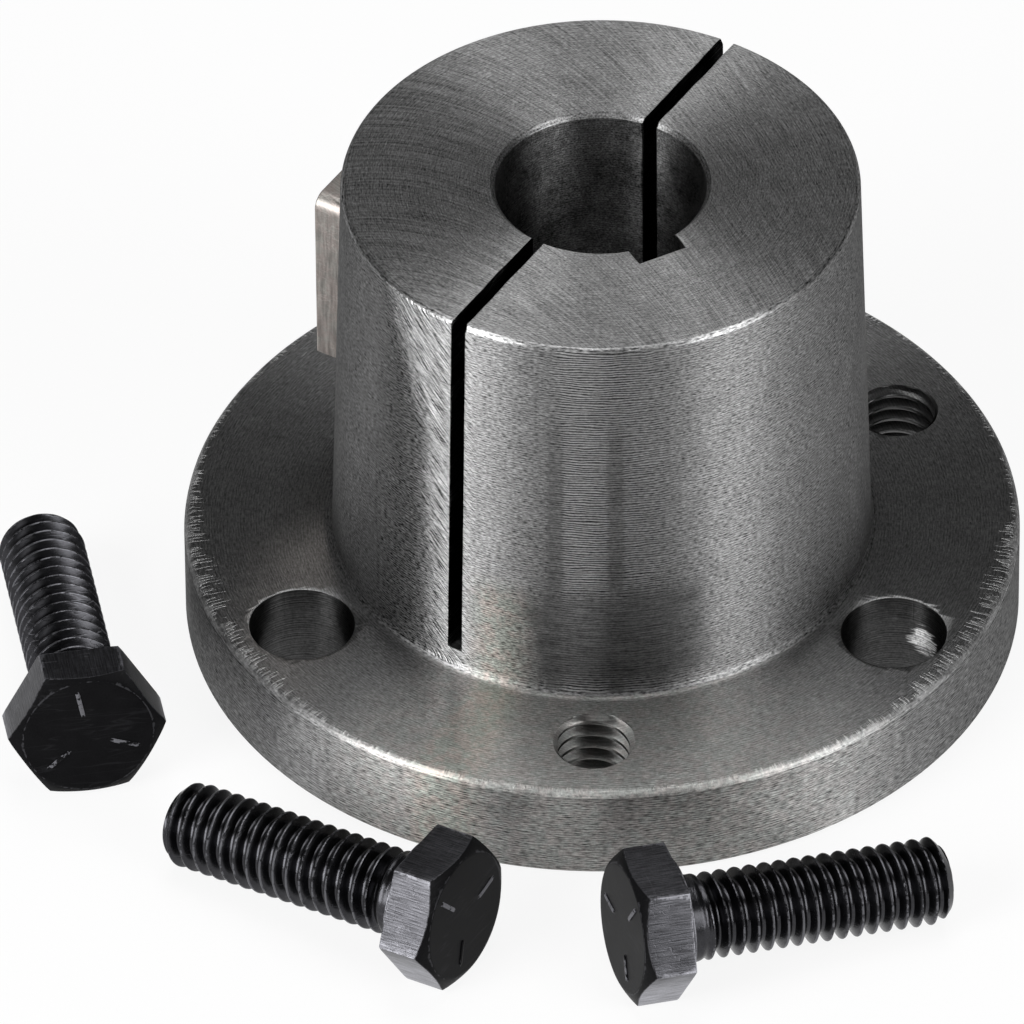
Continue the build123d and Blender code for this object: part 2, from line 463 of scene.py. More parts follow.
def thread_group():
    """A right-hand threaded rod along Z, from one grid whose rows climb a pitch in each turn."""
    sizes = floats("Pitch", "Crest Radius", "Root Radius", "Length", "Neck Length", "Closed Start")
    g, given = new_group("threaded_rod", sizes, "Mesh", "Geometry")
    pitch, crest, root, length, neck, closed_start = given.values()

    turns = g.math("CEIL", length / pitch) + 2 * SPARE_TURNS
    grid = g.add("GeometryNodeMeshGrid", {
        "Size X": 1.0,
        "Size Y": turns,
        "Vertices X": THREAD_STEPS + 1,
        "Vertices Y": turns * THREAD_ROWS + 1,
    })
    across, up, _ = g.separate(g.add("GeometryNodeInputPosition"))
    share_of_turn = across + 0.5
    row = up + turns / 2 - SPARE_TURNS
    climbed = (row + share_of_turn) * pitch

    # Distance from the middle of the crest, in pitches, makes the thread's section
    from_crest = abs(g.math("FRACT", row + 0.5 + 8) - 0.5)
    slope = (from_crest - 1 / 16) / (5 / 16)
    deep = crest - (crest - root) * slope
    rounding = (crest - root) * THREAD_ROUNDING
    section = g.math("SMOOTH_MAX", root, g.math("SMOOTH_MIN", crest, deep, rounding), rounding)
    fade = g.span(climbed / g.math("MAXIMUM", neck, 1e-6), 0.35, 1.0, ease="SMOOTHSTEP")
    radius = crest - (crest - section) * fade

    past_end = g.math("MAXIMUM", climbed - length, 0.0) / pitch
    before_start = g.math("MAXIMUM", climbed * -1, 0.0) / pitch * closed_start
    shrink = g.math("SUBTRACT", 1.0, past_end + before_start, clamp=True)
    radius = g.math("MINIMUM", radius, crest) * shrink
    height = g.math("MINIMUM", g.math("MAXIMUM", climbed, 0.0), length)
    place = g.polar(radius, share_of_turn * (2 * pi), height)
    wrapped = g.add("GeometryNodeSetPosition", {"Geometry": grid, "Position": place})
    inputs = {"Geometry": wrapped, "Distance": THREAD_SEAM}
    return g.give(g.add("GeometryNodeMergeByDistance", inputs))


RING_INPUTS = {"Geometry": "Geometry", "Count": "Int"}
RING_INPUTS |= floats("Radius", "First Angle", "Spacing")


def ring_group():
    """Copies of a mesh round Z, each turned to face away from it."""
    g, given = new_group("ring_of_copies", RING_INPUTS, "Mesh", "Geometry")
    mesh, count, reach, first_angle, spacing = given.values()
    points = g.add("GeometryNodePoints", {"Count": count})
    angle = first_angle + g.add("GeometryNodeInputIndex") * spacing
    place = g.polar(reach, angle, 0.0)
    placed = g.add("GeometryNodeSetPosition", {"Geometry": points, "Position": place})
    rotation = g.add("FunctionNodeEulerToRotation", (g.combine(0.0, 0.0, angle),))
    inputs = {"Points": placed, "Instance": mesh, "Rotation": rotation}
    copies = g.add("GeometryNodeInstanceOnPoints", inputs)
    return g.give(g.add("GeometryNodeRealizeInstances", (copies,)))


def reshape(g, mesh, x, y, radius, new_radius, height):
    """Moves a mesh's points out or in to a new radius, and to a new height."""
    scale = new_radius / g.math("MAXIMUM", radius, 1e-7)
    place = g.combine(x * scale, y * scale, height)
    return g.add("GeometryNodeSetPosition", {"Geometry": mesh, "Position": place})


def tapped_hole_tree(thread):
    """The space of a threaded hole through the flange, with both mouths countersunk."""
    sizes = floats("Pitch", "Major Radius", "Minor Radius", "Thickness", "Mouth Chamfer")
    inputs = {"Geometry": "Geometry"} | sizes
    g, given = new_group("tapped_hole", inputs, "Geometry", "Geometry")
    _, pitch, major_radius, minor_radius, thickness, chamfer = given.values()
    overrun = 1.0 * MM
    rod = g.add("GeometryNodeGroup", {
        "Pitch": pitch,
        "Crest Radius": major_radius,
        "Root Radius": minor_radius,
        "Length": thickness + 2 * overrun,
        "Neck Length": 0.0,
        "Closed Start": 1.0,
    }, node_tree=thread)
    x, y, z = g.separate(g.add("GeometryNodeInputPosition"))
    radius = g.from_axis(x, y)
    height = z - overrun
    from_face = g.math("MINIMUM", height, thickness - height)
    mouth = minor_radius + chamfer - from_face
    grown = g.math("MAXIMUM", radius, mouth * (radius > minor_radius * 0.98))
    return g.give(reshape(g, rod, x, y, radius, grown, height))


def cap_screw_tree(thread, ring):
    """A cap screw: a head with an open neck, its threaded shank and the raised grade marks."""
    inputs = {"Geometry": "Geometry"}
    inputs |= floats("Pitch", "Shank Radius", "Root Radius")
    inputs |= floats("Shank Length", "Neck Length", "Point Chamfer")
    inputs |= {"Marks": "Int"} | floats("Mark Radius", "First Mark", "Mark Spacing")
    inputs |= {"Mark Mesh": "Object", "Material": "Material"}
    g, given = new_group("cap_screw", inputs, "Geometry", "Geometry")
    neck = given["Neck Length"]
    shank = g.add("GeometryNodeGroup", {
        "Pitch": given["Pitch"],
        "Crest Radius": given["Shank Radius"],
        "Root Radius": given["Root Radius"],
        "Length": given["Shank Length"] - neck * 0.3,
        "Neck Length": neck * 3,
        "Closed Start": 0.0,
    }, node_tree=thread)
    x, y, z = g.separate(g.add("GeometryNodeInputPosition"))
    radius = g.from_axis(x, y)
    height = z + neck * 0.3
    from_point = given["Shank Length"] - height
    cone = given["Shank Radius"] - given["Point Chamfer"] + from_point
    pointed = reshape(g, shank, x, y, radius, g.math("MINIMUM", radius, cone), height)
    whole = g.gather("GeometryNodeJoinGeometry", 0, (given["Geometry"], pointed))
    sewn = g.add("GeometryNodeMergeByDistance", {"Geometry": whole, "Distance": NECK_SEAM})

    marks = g.add("GeometryNodeGroup", {
        "Geometry": g.add("GeometryNodeObjectInfo", {"Object": given["Mark Mesh"]}, out="Geometry"),
        "Count": given["Marks"],
        "Radius": given["Mark Radius"],
        "First Angle": given["First Mark"],
        "Spacing": given["Mark Spacing"],
    }, node_tree=ring)
    union = {"operation": "UNION", "solver": "MANIFOLD"}
    marked = g.gather("GeometryNodeMeshBoolean", "Mesh 2", (marks, sewn), **union)
    real = g.add("GeometryNodeRealizeInstances", (marked,))
    inputs = {"Geometry": real, "Material": given["Material"]}
    return g.give(g.add("GeometryNodeSetMaterial", inputs))


def hole_ring_tree(ring):
    """A ring of copies as a modifier's own tree, for the holes on the bolt circle."""
    g, given = new_group("hole_ring", RING_INPUTS, "Geometry", "Geometry")
    return g.give(g.add("GeometryNodeGroup", given, node_tree=ring))


def add_tree(piece, tree, values):
    """Gives a piece a geometry nodes modifier with its inputs set by name."""
    modifier = piece.modifiers.new(tree.name, "NODES")
    modifier.node_group = tree
    for item in tree.interface.items_tree:
        if item.item_type == "SOCKET" and item.in_out == "INPUT" and item.name in values:
            modifier[item.identifier] = values[item.name]


def settle(piece):
    """Turns a piece and its modifiers into one plain mesh."""
    bpy.context.view_layer.update()
    graph = bpy.context.evaluated_depsgraph_get()
    mesh = bpy.data.meshes.new_from_object(piece.evaluated_get(graph))
    piece.modifiers.clear()
    piece.data = mesh
    mesh.name = piece.name
    return mesh


def smooth(piece, angle=SMOOTH_ANGLE):
    """Smooths a piece's curved faces, while its flat faces and crisp edges stay as they are."""
    mesh = piece.data
    mesh.shade_smooth()
    mesh.set_sharp_from_angle(angle=radians(angle))
    weighted = piece.modifiers.new("flat faces stay flat", "WEIGHTED_NORMAL")
    weighted.keep_sharp = True
    weighted.weight = 90
    settle(piece)


def carve(piece, cutters):
    """Cuts each cutter out of a piece in turn, then drops the cutters."""
    for cutter in cutters:
        cut = piece.modifiers.new(cutter.name, "BOOLEAN")
        cut.operation = "DIFFERENCE"
        cut.solver = "MANIFOLD"
        cut.object = cutter
    settle(piece)
    for cutter in cutters:
        bpy.data.objects.remove(cutter)


# Pieces

def round_bolt_circle(cutter, hole_ring, count, first_angle):
    """Repeats the cutter of one hole round the bolt circle."""
    add_tree(cutter, hole_ring, {
        "Count": count,
        "Radius": BOLT_CIRCLE_RADIUS * MM,
        "First Angle": radians(first_angle),
        "Spacing": radians(THIRD_TURN),
    })
    settle(cutter)


def bushing(tapped_hole, hole_ring):
    body = turned("split_taper_bushing", blank_outline())
    blade = grid_piece("saw_path", blade_rows(), SPLIT_ANGLE)
    keyway = slab("keyway", keyway_outline, mouth_levels(0, NOSE_HEIGHT), KEYWAY_ANGLE)
    seat = slab("keyseat", keyseat_outline, [(KEY_BOTTOM, 0.0), (KEY_TOP, 0.0)], KEY_ANGLE)
    clearance = turned("clearance_holes", clearance_hole_outline(), HOLE_STEPS)
    round_bolt_circle(clearance, hole_ring, CLEARANCE_HOLES, FIRST_CLEARANCE_ANGLE)
    tapped = new_piece("tapped_holes", bpy.data.meshes.new("tapped_holes"))
    add_tree(tapped, tapped_hole, {
        "Pitch": PITCH * MM,
        "Major Radius": TAPPED_MAJOR_RADIUS * MM,
        "Minor Radius": TAPPED_MINOR_RADIUS * MM,
        "Thickness": FLANGE_THICKNESS * MM,
        "Mouth Chamfer": TAPPED_MOUTH_CHAMFER * MM,
    })
    round_bolt_circle(tapped, hole_ring, TAPPED_HOLES, FIRST_TAPPED_ANGLE)
    carve(body, [clearance, tapped, keyway, seat, blade])
    smooth(body)
    return body


def drive_key():
    """The square key bar, its top end well rounded and its other edges lightly broken."""
    middle_radius = KEY_FLOOR_RADIUS + KEY_WIDTH / 2
    half = KEY_WIDTH / 2
    corners = [
        (-half, KEY_BOTTOM, KEY_EDGE_BREAK),
        (half, KEY_BOTTOM, KEY_EDGE_BREAK),
        (half, KEY_TOP, KEY_END_ROUND),
        (-half, KEY_TOP, KEY_END_ROUND),
    ]
    middle_height = (KEY_BOTTOM + KEY_TOP) / 2
    section = [point - Vector((0, middle_height)) for point in rounded_outline(corners, 8)]
    edge = []
    for step in range(5):
        angle = step / 4 * pi / 2
        edge.append((-half + KEY_EDGE_BREAK * (1 - cos(angle)), KEY_EDGE_BREAK * (1 - sin(angle))))
    rows = []
    for depth, inset in edge + [(-depth, inset) for depth, inset in reversed(edge)]:
        narrow, short = 1 - inset / half, 1 - inset / (middle_height - KEY_BOTTOM)
        ring = [(point.x * narrow, middle_height + point.y * short) for point in section]
        rows.append([(middle_radius + depth, *point) for point in ring])
    key = grid_piece("drive_key_bar", rows, KEY_ANGLE)
    smooth(key)
    return key


def hexagon_radius(angle):
    """The head's half width in one direction, with its six corners slightly rounded."""
    flat = HEAD_WIDTH / 2
    from_flat = (angle + pi / 6) % (pi / 3) - pi / 6
    straight = flat / cos(from_flat)
    corner_centre = (flat - HEAD_CORNER_ROUND) / cos(pi / 6)
    from_corner = pi / 6 - abs(from_flat)
    across = corner_centre * sin(from_corner)
    if across >= HEAD_CORNER_ROUND:
        return straight
    rounded = corner_centre * cos(from_corner) + sqrt(HEAD_CORNER_ROUND**2 - across**2)
    return min(straight, rounded)


def head_section(outer):
    """The head's (radius, height) points towards a side this far out, from end face to neck."""
    slope = tan(radians(HEAD_CHAMFER_ANGLE))
    quarter = HEAD_EDGE_ROUND / 4
    rim = outer - HEAD_EDGE_ROUND
    under = -WASHER_FACE_HEIGHT

    def cone(radius):
        return -HEAD_HEIGHT + (radius - FACE_RADIUS) * slope

    side_low, side_high = cone(outer), under - HEAD_EDGE_ROUND
    end_face = (0.0, 1.5, 3.0, 4.5, FACE_RADIUS - 0.25, FACE_RADIUS)
    section = [(radius, -HEAD_HEIGHT) for radius in end_face]
    section += [(radius, cone(radius)) for radius in ((FACE_RADIUS + rim) / 2, rim)]
    section += [(outer - quarter, cone(outer - quarter) + 0.02)]
    section += [(outer, side_low + HEAD_EDGE_ROUND)]
    section += [(outer, side_low * (1 - share) + side_high * share) for share in (0.33, 0.66)]
    section += [(outer, side_high), (outer - quarter, under - quarter), (rim, under)]
    section += [(FACE_RADIUS, under), (FACE_RADIUS, -0.06), (FACE_RADIUS - 0.06, 0.0)]
    return section + [(SCREW_RADIUS + 0.3, 0.0), (SCREW_RADIUS + 0.09, 0.09), (SCREW_RADIUS, 0.3)]


def head_mesh():
    """The hexagon head, open where the shank starts, with its bearing face at Z = 0."""
    columns = []
    for step in range(THREAD_STEPS):
        angle = 2 * pi * step / THREAD_STEPS
        section = head_section(hexagon_radius(angle + pi / 6))
        columns.append([(far * cos(angle), far * sin(angle), height) for far, height in section])
    mesh = grid_mesh("hexagon_head", list(zip(*columns)))
    work = bmesh.new()
    work.from_mesh(mesh)
    work.faces.ensure_lookup_table()
    neck_face = max(work.faces, key=lambda face: face.calc_center_median().z)
    bmesh.ops.delete(work, geom=[neck_face], context="FACES_ONLY")
    work.to_mesh(mesh)
    work.free()
    return mesh


def grade_mark():
    """One raised radial dash, lying on the head's outer face and sunk a little into it."""
    half_length, half_width = GRADE_MARK_LENGTH / 2, GRADE_MARK_WIDTH / 2
    rows = []
    for height, inset in ((0.15, 0.0), (-0.6 * GRADE_MARK_HEIGHT, 0.0), (-GRADE_MARK_HEIGHT, 0.07)):
        x, y = half_length - inset, half_width - inset
        corners = [(-x, -y), (x, -y), (x, y), (-x, y)]
        outline = rounded_outline([(*corner, y * 0.8) for corner in corners], 3)
        rows.append([(point.x, point.y, height - HEAD_HEIGHT) for point in outline])
    return grid_piece("grade_mark", rows)


def resting_place(angle, gap, heading):
    """How a screw lies: on a flat of its head and on the last full turn at its point."""
    half_head = HEAD_WIDTH / 2
    run = SCREW_LENGTH - SCREW_POINT_CHAMFER + WASHER_FACE_HEIGHT
    tip_down = atan((half_head - SCREW_RADIUS) / run)
    height = half_head * cos(tip_down) - WASHER_FACE_HEIGHT * sin(tip_down)
    reach = FLANGE_RADIUS + gap
    place = Vector((reach * cos(radians(angle)), reach * sin(radians(angle)), height))
    ahead = Vector((cos(radians(heading)), sin(radians(heading)), 0))
    along = ahead * cos(tip_down) - Vector((0, 0, sin(tip_down)))
    across = Vector((-ahead.y, ahead.x, 0))
    upward = along.cross(across)
    turn = Matrix((across, upward, along)).transposed().to_4x4()
    return Matrix.Translation(place * MM) @ turn


def note_wear(mesh):
    """Stores each point's place along the screw, in millimetres, and how sharp an edge it is on."""
    work = bmesh.new()
    work.from_mesh(mesh)
    places, wears = [], []
    for vertex in work.verts:
        places.extend(vertex.co / MM)
        angles = [edge.calc_face_angle_signed(0.0) for edge in vertex.link_edges]
        sharpest = max(angles, default=0.0)
        wears.append(min(1.0, max(0.0, sharpest / FULLY_WORN_ANGLE)))
    work.free()
    mesh.attributes.new("place_in_screw", "FLOAT_VECTOR", "POINT")
    mesh.attributes["place_in_screw"].data.foreach_set("vector", places)
    mesh.attributes.new("edge_wear", "FLOAT", "POINT")
    mesh.attributes["edge_wear"].data.foreach_set("value", wears)


def cap_screw(name, tree, mark, first_mark_angle, material):
    screw = new_piece(name, head_mesh())
    add_tree(screw, tree, {
        "Pitch": PITCH * MM,
        "Shank Radius": SCREW_RADIUS * MM,
        "Root Radius": SCREW_ROOT_RADIUS * MM,
        "Shank Length": SCREW_LENGTH * MM,
        "Neck Length": SCREW_NECK * MM,
        "Point Chamfer": SCREW_POINT_CHAMFER * MM,
        "Marks": GRADE_MARKS,
        "Mark Radius": GRADE_MARK_RADIUS * MM,
        "First Mark": radians(first_mark_angle),
        "Mark Spacing": radians(THIRD_TURN),
        "Mark Mesh": mark,
        "Material": material,
    })
    settle(screw)
    smooth(screw)
    note_wear(screw.data)
    return screw


# Finishes: small groups make the marks and masks, and each material's own shader uses them

# How far apart in the noise two sets of tool marks lie whose seeds differ by one
SEED_STEP = 50.0
GREEN_STAIN = (0.93, 1.0, 0.88, 1)
STRAW_STAIN = (1.13, 0.98, 0.87, 1)
KEY_TINT = (1.05, 0.98, 0.95)
OXIDE_TINT = (0.97, 0.97, 1.06)


def tool_marks_group():
    """Streaks left by a tool: narrow across its path and long along it, from 0 to 1."""
    inputs = floats("Across", "Along", "Width", "Length", "Seed")
    g, given = new_group("tool_marks", inputs, "Marks", "Float")
    across, along, width, length, seed = given.values()
    place = g.combine(across / width + seed * SEED_STEP, along / length, 0.0)
    streaks = g.noise(place, roughness=0.6, noise_dimensions="2D")
    return g.give(g.span(streaks, 0.24, 0.76))


def feed_lines_group():
    """The regular fine groove of a turning feed, a little uneven, from 0 to 1."""
    inputs = floats("Across", "Along", "Feed")
    g, given = new_group("feed_lines", inputs, "Lines", "Float")
    across, along, feed = given.values()
    waver = g.noise(g.combine(across * 0.9, along * 0.35, 0.0), noise_dimensions="2D")
    turns = across / feed + (waver - 0.5) * 1.3
    return g.give(0.5 + g.math("SINE", turns * (2 * pi)) * 0.5)


def scratch_group():
    """Sparse thin scratches in two directions, from 0 to 1."""
    inputs = {"Place": "Vector"} | floats("Width", "Amount")
    g, given = new_group("scratches", inputs, "Mask", "Float")
    place, width, amount = given.values()
    layers = []
    for turn, seed in ((0.5, 3.0), (-0.9, 17.0)):
        slanted = g.add("ShaderNodeMapping", {
            "Vector": place,
            "Location": (seed, seed, seed),
            "Rotation": (0.4 * turn, 0.3, turn),
            "Scale": (0.12, 1.1, 1.1),
        })
        line = 1.0 - abs(g.noise(slanted) - 0.5) / width
        patches = g.noise(place, scale=0.23 + 0.01 * seed, detail=0.0)
        there = g.span(patches, 1.0 - amount, 1.08 - amount)
        layers.append(g.math("MAXIMUM", line, 0.0) * there)
    return g.give(g.math("MAXIMUM", *layers))


def grain_group():
    """The uneven tone of bare metal: fine speckle and larger clouds, both round 1."""
    inputs = {"Place": "Vector"} | floats("Size", "Speckle", "Clouds")
    g, given = new_group("metal_grain", inputs, "Tone", "Float")
    place, size, speckle, clouds = given.values()
    place = g.scale(place, g.math("DIVIDE", 1.0, size))
    fine = g.noise(place, detail=2.0, roughness=0.7)
    large = g.noise(place, scale=0.09, detail=2.0, roughness=0.6)
    return g.give(1.0 + (fine - 0.5) * speckle + (large - 0.5) * clouds)


def stain_group():
    """A faint stain in patches that drift between straw brown and green."""
    inputs = {"Place": "Vector"} | floats("Amount")
    g, given = new_group("faint_stain", inputs, "Tint", "Color")

    def mix(share, low, high):
        return g.add("ShaderNodeMix", {0: share, 6: low, 7: high}, out=2, data_type="RGBA")

    drift = g.noise(given["Place"], scale=0.8, detail=3.0, roughness=0.7)
    tints = mix(g.span(drift, 0.42, 0.58), GREEN_STAIN, STRAW_STAIN)
    return g.give(mix(given["Amount"], (1, 1, 1, 1), tints))


FINISHES = {
    "tool marks": tool_marks_group(),
    "feed lines": feed_lines_group(),
    "scratches": scratch_group(),
    "grain": grain_group(),
    "stain": stain_group(),
}


def effect(g, name, **values):
    """Places one of the finish groups in a material and gives what it makes."""
    values = {key.title(): value for key, value in values.items()}
    return g.add("ShaderNodeGroup", values, node_tree=FINISHES[name])


def new_material(name, **constants):
    """A material with its Principled shader, whose plain values are set by socket name."""
    material = bpy.data.materials.new(name)
    material.use_nodes = True
    shader = material.node_tree.nodes["Principled BSDF"]
    for socket, value in constants.items():
        socket = "IOR" if socket == "ior" else socket.replace("_", " ").title()
        shader.inputs[socket].default_value = value
    return material, Graph(material.node_tree), shader


def finish(g, shader, colour, roughness, relief, depth):
    """Feeds the shader, with the relief as a bump whose depth is in millimetres."""
    bump = g.add("ShaderNodeBump", {"Strength": 1.0, "Distance": depth * MM, "Height": relief})
    for name, value in (("Base Color", colour), ("Roughness", roughness), ("Normal", bump)):
        g.tree.links.new(value.socket, shader.inputs[name])


def place_in_mm(g):
    return g.scale(g.add("ShaderNodeTexCoord", out="Object"), 1 / MM)


def blend(outside, inside, mask):
    return outside + (inside - outside) * mask


# Radii at which angles are turned into millimetres round the bushing and round a screw's head
AROUND_RADIUS = 24.0
AROUND_HEAD_RADIUS = 6.0

# Places of the bushing's finish marks and of its painted light, in millimetres or in degrees round
# it
CHIP_PLACE = (29.5, -11.6, 5.2)
DARK_REFLECTION_COLUMNS = (261.5, 274.5)
TEAR_EDGE = 229.5


def turned_steel():
    """Machined steel: turned barrel and flange, faced nose; bore, holes and saw cut dark with
    painted shade.
    """
    material, g, shader = new_material(
        "turned_steel_finish",
        metallic=1.0,
        anisotropic=0.9,
        anisotropic_rotation=0.25,
        specular_tint=(0.3, 0.3, 0.3, 1),
    )
    tangent = g.add("ShaderNodeTangent", direction_type="RADIAL", axis="Z")
    g.tree.links.new(tangent.socket, shader.inputs["Tangent"])
    place = place_in_mm(g)
    x, y, z = g.separate(place)
    radius = g.from_axis(x, y)
    degrees_round = g.math("FLOORED_MODULO", g.math("ARCTAN2", y, x) * (180 / pi), 360.0)
    around = degrees_round * (AROUND_RADIUS * pi / 180)
    _, _, normal_z = g.separate(g.add("ShaderNodeNewGeometry", out="Normal"))
    level = abs(normal_z) > 0.6
    upright = 1.0 - level

    # Where each surface is
    nose = (z > NOSE_HEIGHT - 0.05) * level
    low = z < FLANGE_THICKNESS + 0.2
    flange_face = low * level
    flange_side = g.span(radius, FLANGE_RADIUS - 0.9, FLANGE_RADIUS - 0.5) * low * upright
    barrel = g.span(radius, NOSE_RADIUS - 1.5, NOSE_RADIUS - 1.0) * upright * (1.0 - low)
    bore = (radius < KEYWAY_FLOOR_RADIUS + 0.1) * upright
    from_cut = y * cos(radians(SPLIT_ANGLE)) - x * sin(radians(SPLIT_ANGLE)) - SPLIT_OFF_CENTRE
    sawn = (abs(from_cut) < SPLIT_WIDTH / 2 + 0.08) * (z > SPLIT_FLOOR - 0.1) * (1.0 - nose)
    between_faces = abs(z - FLANGE_THICKNESS / 2) < FLANGE_THICKNESS / 2 - 0.03
    hole_wall = (abs(radius - BOLT_CIRCLE_RADIUS) < CLEARANCE_HOLE_RADIUS + 0.1) * between_faces
    three_waves = g.math("COSINE", (degrees_round - FIRST_CLEARANCE_ANGLE) * (3 * pi / 180))
    tapped = hole_wall * (three_waves < 0.0)
    # The nose's rounded rim is lightened, partly as a burred edge and partly as a painted highlight
    rim_sum = NOSE_RADIUS + NOSE_HEIGHT
    rim = g.span(radius + z, rim_sum - 0.52, rim_sum - 0.4)

    # The marks of turning run round the axis: across them is height on a wall, radius on a face
    turning = {"across": blend(z, radius, level), "along": around}
    feed = effect(g, "feed lines", feed=0.27, **turning)
    long_marks = effect(g, "tool marks", width=0.13, length=3.0, seed=2.0, **turning)
    short_marks = effect(g, "tool marks", width=0.12, length=0.5, seed=9.0, **turning)
    grain = effect(g, "grain", place=place, size=0.22, speckle=0.9, clouds=0.4)
    speckle = effect(g, "grain", place=place, size=0.35, speckle=2.4, clouds=2.4)
    scratch = effect(g, "scratches", place=place, width=0.008, amount=0.4)
    scratch = scratch * (1.0 - flange_face * 0.7)

    # A dull tool tore the barrel just left of the saw cut, in streaks that slant down to the right,
    # and the torn band is lightened as a painted highlight
    slant = {"across": z + around * 0.9, "along": around}
    slanted = effect(g, "tool marks", width=0.24, length=1.5, seed=5.0, **slant)
    fringe = effect(g, "tool marks", width=0.16, length=2.2, seed=11.0, **slant)
    tear_edge = TEAR_EDGE - g.span(z, 35.0, NOSE_HEIGHT, 0.0, 12.5)
    tear_edge = tear_edge + g.span(z, 15.0, 30.0, 2.0, 0.0)
    past_edge = degrees_round - tear_edge - (slanted - 0.5) * 6.0 - (fringe - 0.5) * 9.0
    ragged = g.span(past_edge, -0.5, 0.5)
    # Painted shade darkens the barrel just left of the tear, so that the bright band ends at its
    # ragged edge
    painted_shade_before_tear = g.span(degrees_round, 212.0, 222.0) * (1.0 - ragged) * barrel
    torn_band_and_highlight = ragged * g.fall(degrees_round, 239.0, 244.0) * barrel

    # The feed shows clearly down the middle, and a painted dark reflection darkens the barrel's
    # front near its foot and in two narrow columns
    clear_feed = g.window(degrees_round, 260.0, 263.0, 275.0, 290.0) * barrel
    mottled_edge = (g.noise(place, scale=0.35, detail=2.0) - 0.5) * 14.0
    painted_dark_reflection = g.window(degrees_round + mottled_edge, 256.0, 260.0, 291.0, 297.0)
    painted_dark_reflection = painted_dark_reflection * g.fall(z + mottled_edge * 0.35, 20.0, 23.0) * g.span(z, 10.5, 12.0)
    for run in DARK_REFLECTION_COLUMNS:
        column = g.fall(abs(degrees_round - run), 1.2, 2.2) * g.fall(z, 36.0, 44.0)
        painted_dark_reflection = g.math("MAXIMUM", painted_dark_reflection, column * 0.8)
    painted_dark_reflection = painted_dark_reflection * barrel

    # A chip that the drill left on the wall of the clearance hole at the front right
    ends = (place, CHIP_PLACE)
    from_chip = g.add("ShaderNodeVectorMath", ends, out="Value", operation="DISTANCE")
    chip = g.fall(from_chip + (slanted - 0.5) * 0.9, 1.2, 1.5) * hole_wall

    # Facing passes cross the nose in wide arcs
    arc = x * 0.8 + y * 0.6 + x * x * 0.02
    arcs = {"across": arc, "along": x * 0.6 - y * 0.8}
    hatch = effect(g, "tool marks", width=0.15, length=8.0, seed=7.0, **arcs)

    # Burrs at the flange's rim, long at the left and the right and lost in the edge in front,
    # lightened partly as painted glints
    teeth = {"across": degrees_round * 0.66, "along": radius}
    tooth = effect(g, "tool marks", width=0.24, length=3.0, seed=3.0, **teeth)
    beside = abs(abs(degrees_round - 270.0) - 68.0)
    reach = g.span(tooth, 0.4, 1.0, 0.0, 2.0) * g.span(beside, 12.0, 34.0, 1.0, 0.2)
    burr = g.span(radius + reach, FLANGE_RADIUS - 0.6, FLANGE_RADIUS - 0.2) * (z > 9.0) * low
    broken_burr_and_glint = burr * g.span(speckle, 0.6, 1.4, 0.25, 1.0)

    # The dark shades of the bore, the hole walls, the tapped holes and the saw cut are painted
    # shade in these recesses
    shade, rough = 0.25, 0.45
    for zone, zone_shade, zone_rough in (
        (nose, 0.285, 0.8),
        (flange_face, 0.29, 0.36),
        (flange_side, 0.29, 0.5),
        (bore, 0.13 * speckle, None),
        (hole_wall, 0.075 * blend(1.0, speckle, 0.4), 0.36),
        (tapped, 0.18, None),
        (chip, 0.6 * speckle, 0.6),
        (rim, 0.36, 0.36),
        (sawn, 0.02, None),
    ):
        shade = blend(shade, zone_shade, zone)
        rough = rough if zone_rough is None else blend(rough, zone_rough, zone)

    on_barrel = g.math("MAXIMUM", painted_dark_reflection * 0.7, clear_feed * 0.5)
    elsewhere = hole_wall * 0.6 + flange_face * 0.5 + nose * 0.4
    calm = 1.0 - g.math("MAXIMUM", on_barrel, elsewhere)
    marks = (feed - 0.5) * (0.4 + clear_feed * 1.3) * (1.0 - nose * 0.7) * (1.0 - painted_dark_reflection * 0.8)
    marks = marks + (long_marks - 0.5) * 0.45
    marks = marks * (1.0 - flange_face * 0.5) + (short_marks - 0.5) * 1.3 * calm
    marks = marks + (slanted - 0.5) * torn_band_and_highlight * 1.2 + (fringe - 0.5) * torn_band_and_highlight * 2.8
    marks = marks + (hatch - 0.5) * 0.6 * nose
    # Painted highlight on the torn band, painted shade left of it, and painted dark reflections on
    # the barrel's front
    marks = marks + torn_band_and_highlight * 0.4 - painted_shade_before_tear * 0.45 - painted_dark_reflection * 0.35
    shade = g.math("MAXIMUM", shade * grain * (1.0 + marks), 0.01)
    # The burrs' lighter colour is partly painted glints
    shade = shade + scratch * 0.04 + broken_burr_and_glint * 0.42
    rough = blend(rough, 0.6, broken_burr_and_glint) + (short_marks - 0.5) * 0.06

    # Straw and green stain below the saw cut, fainter along the front of the flange's side
    stained = g.window(degrees_round, 241.0, 246.0, 252.0, 259.0) * g.fall(z, 19.0, 22.0)
    in_front = g.window(degrees_round, 228.0, 240.0, 290.0, 320.0)
    stained = g.math("MAXIMUM", stained * 0.7, in_front * low * 0.3)
    tint = effect(g, "stain", place=place, amount=stained)

    relief = feed * (0.3 + clear_feed * 0.7) + long_marks * 0.4
    relief = relief + short_marks * 0.5 * (1.0 - nose * 0.4)
    relief = relief + (slanted + fringe) * torn_band_and_highlight * 2.0 + burr * 2.5
    finish(g, shader, g.scale(tint, shade), rough, relief, 0.012)
    return material


